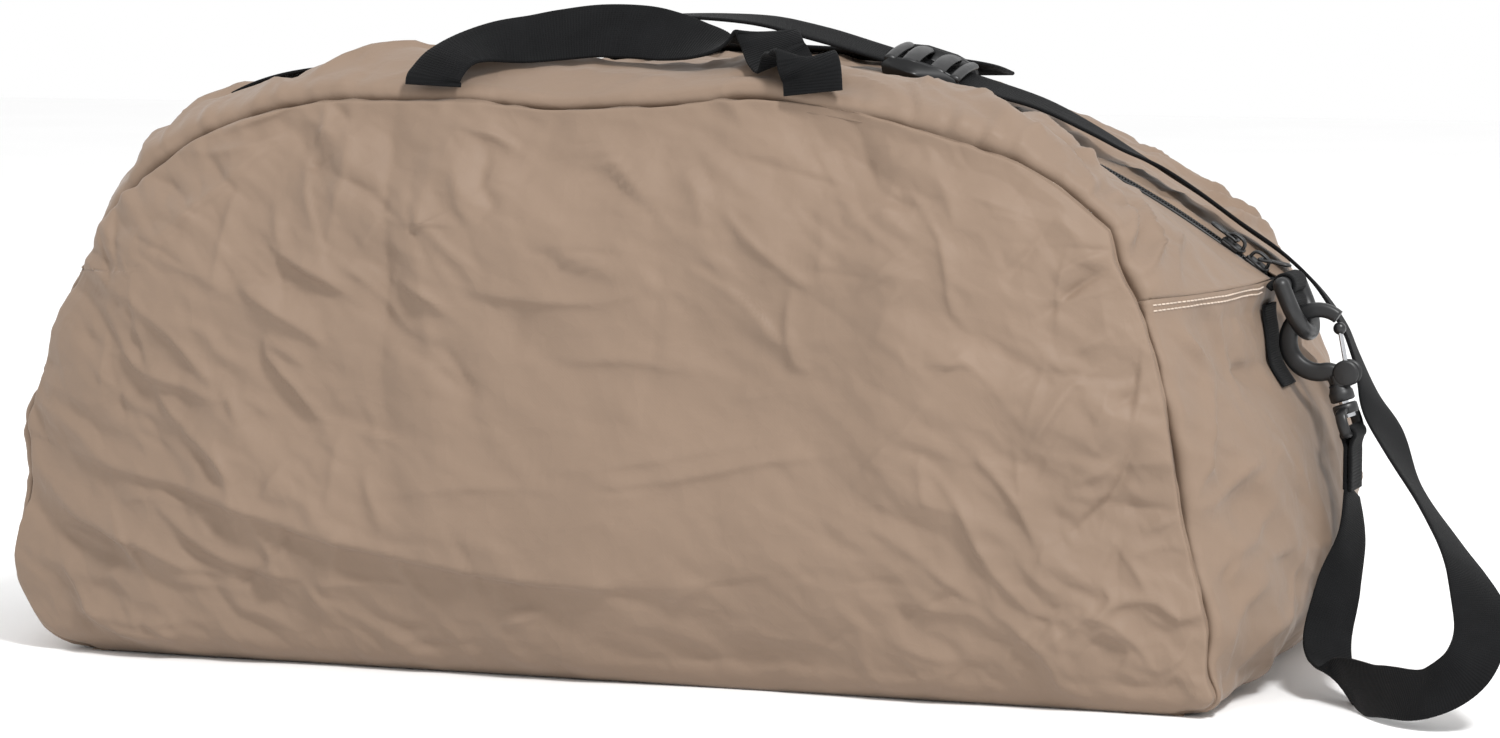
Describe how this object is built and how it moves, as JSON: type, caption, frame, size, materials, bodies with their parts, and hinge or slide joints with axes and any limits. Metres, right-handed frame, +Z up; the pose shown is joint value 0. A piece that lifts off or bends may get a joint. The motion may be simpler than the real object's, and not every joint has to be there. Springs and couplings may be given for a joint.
{
  "type": "duffel bag",
  "caption": "Soft D-shaped packable duffel bag with a zipped top gusset, two webbing handles, and a shoulder strap hooked to a D-ring at each end.",
  "frame": {"origin": "middle of the base, on the ground", "axes": "+X along the bag, towards the end with the zip sliders; -Y towards the front panel; +Z up"},
  "size_m": [0.8202, 0.325, 0.3401],
  "materials": {
    "shell_fabric": "thin crinkled nylon with a slight sheen",
    "webbing": "ribbed flat webbing",
    "zip_tape": "woven tape",
    "black_plastic": "moulded, satin",
    "steel_wire": "bright drawn wire"
  },
  "bodies": {
    "bag": {"bottom_panel": "shell_fabric", "front_panel": "shell_fabric", "rear_panel": "shell_fabric", "left_end_panel": "shell_fabric", "right_end_panel": "shell_fabric", "front_seam_binding": "shell_fabric", "rear_seam_binding": "shell_fabric", "left_zip_tape_end": "zip_tape", "right_zip_tape_end": "zip_tape", "left_zip_coil_end": "black_plastic", "right_zip_coil_end": "black_plastic", "left_zip_cross_tab": "webbing", "right_zip_cross_tab": "webbing", "parked_slider": "black_plastic", "left_ring_tab": "webbing", "right_ring_tab": "webbing", "left_end_webbing": "webbing", "right_end_webbing": "webbing", "left_swivel_eye": "black_plastic", "right_swivel_eye": "black_plastic", "left_strap_end": "webbing", "right_strap_end": "webbing", "shoulder_strap": "webbing"},
    "front_mouth": {"front_upper_panel": "shell_fabric", "front_gusset": "shell_fabric", "front_zip_tape": "zip_tape", "front_zip_coil": "black_plastic", "front_arch_binding": "shell_fabric", "front_handle_tacks": "webbing"},
    "rear_mouth": {"rear_upper_panel": "shell_fabric", "rear_gusset": "shell_fabric", "rear_zip_tape": "zip_tape", "rear_zip_coil": "black_plastic", "rear_arch_binding": "shell_fabric", "rear_handle_tacks": "webbing"},
    "front_handle": {"front_handle": "webbing"},
    "rear_handle": {"rear_handle": "webbing"},
    "zip_slider": {"slider_body": "black_plastic"},
    "slider_pull": {"slider_pull": "black_plastic"},
    "parked_pull": {"parked_pull": "black_plastic"},
    "left_ring": {"left_ring": "black_plastic"},
    "right_ring": {"right_ring": "black_plastic"},
    "left_hook": {"left_hook": "black_plastic", "left_swivel_pin": "steel_wire", "left_gate_pin": "steel_wire"},
    "right_hook": {"right_hook": "black_plastic", "right_swivel_pin": "steel_wire", "right_gate_pin": "steel_wire"},
    "left_gate": {"left_gate": "steel_wire"},
    "right_gate": {"right_gate": "steel_wire"},
    "strap_adjuster": {"strap_adjuster": "black_plastic"}
  },
  "joints": [
    {"name": "front_mouth_fold", "type": "hinge", "parent": "bag", "child": "front_mouth", "pos_m": [0, 0, 0.198], "axis": [1, 0, 0], "range_deg": [0, 24]},
    {"name": "rear_mouth_fold", "type": "hinge", "parent": "bag", "child": "rear_mouth", "pos_m": [0, 0, 0.198], "axis": [-1, 0, 0], "range_deg": [0, 24]},
    {"name": "zip_slide", "type": "hinge", "parent": "bag", "child": "zip_slider", "pos_m": [0, 0, -0.19012], "axis": [0, -1, 0], "range_deg": [0, 69.6]},
    {"name": "slider_pull_flip", "type": "hinge", "parent": "zip_slider", "child": "slider_pull", "pos_m": [0.28441, 0, 0.21687], "axis": [0, 1, 0], "range_deg": [0, 75]},
    {"name": "parked_pull_flip", "type": "hinge", "parent": "bag", "child": "parked_pull", "pos_m": [0.2967, 0, 0.208], "axis": [0, -1, 0], "range_deg": [0, 80]},
    {"name": "front_handle_swing", "type": "hinge", "parent": "front_mouth", "child": "front_handle", "pos_m": [0, -0.1434, 0.2972], "axis": [1, 0, 0], "range_deg": [0, 195]},
    {"name": "rear_handle_swing", "type": "hinge", "parent": "rear_mouth", "child": "rear_handle", "pos_m": [0, 0.1434, 0.29352], "axis": [-1, 0, 0], "range_deg": [0, 213]},
    {"name": "left_ring_swing", "type": "hinge", "parent": "bag", "child": "left_ring", "pos_m": [-0.3115, 0, 0.1965], "axis": [0, 1, 0], "range_deg": [0, 5]},
    {"name": "right_ring_swing", "type": "hinge", "parent": "bag", "child": "right_ring", "pos_m": [0.3115, 0, 0.1965], "axis": [0, -1, 0], "range_deg": [0, 5]},
    {"name": "left_hook_swivel", "type": "hinge", "parent": "bag", "child": "left_hook", "pos_m": [-0.3393, 0, 0.1386], "axis": [0.309, 0, 0.9511], "range_deg": [-12, 12]},
    {"name": "right_hook_swivel", "type": "hinge", "parent": "bag", "child": "right_hook", "pos_m": [0.3393, 0, 0.1386], "axis": [-0.309, 0, 0.9511], "range_deg": [-12, 12]},
    {"name": "left_gate_open", "type": "hinge", "parent": "left_hook", "child": "left_gate", "pos_m": [-0.34099, 0, 0.15282], "axis": [0, 1, 0], "range_deg": [0, 15], "stiffness_Nm_per_rad": 0.02, "springref_deg": -17.19},
    {"name": "right_gate_open", "type": "hinge", "parent": "right_hook", "child": "right_gate", "pos_m": [0.34099, 0, 0.15282], "axis": [0, -1, 0], "range_deg": [0, 15], "stiffness_Nm_per_rad": 0.02, "springref_deg": -17.19},
    {"name": "adjuster_slide", "type": "slide", "parent": "bag", "child": "strap_adjuster", "axis": [-0.9573, -0.0319, 0.2872], "range_m": [-0.03, 0.01]}
  ],
  "couplings": [
    {"joint": "rear_mouth_fold", "follows": "front_mouth_fold", "ratio": 1},
    {"joint": "zip_slide", "follows": "front_mouth_fold", "ratio": 2.9}
  ]
}
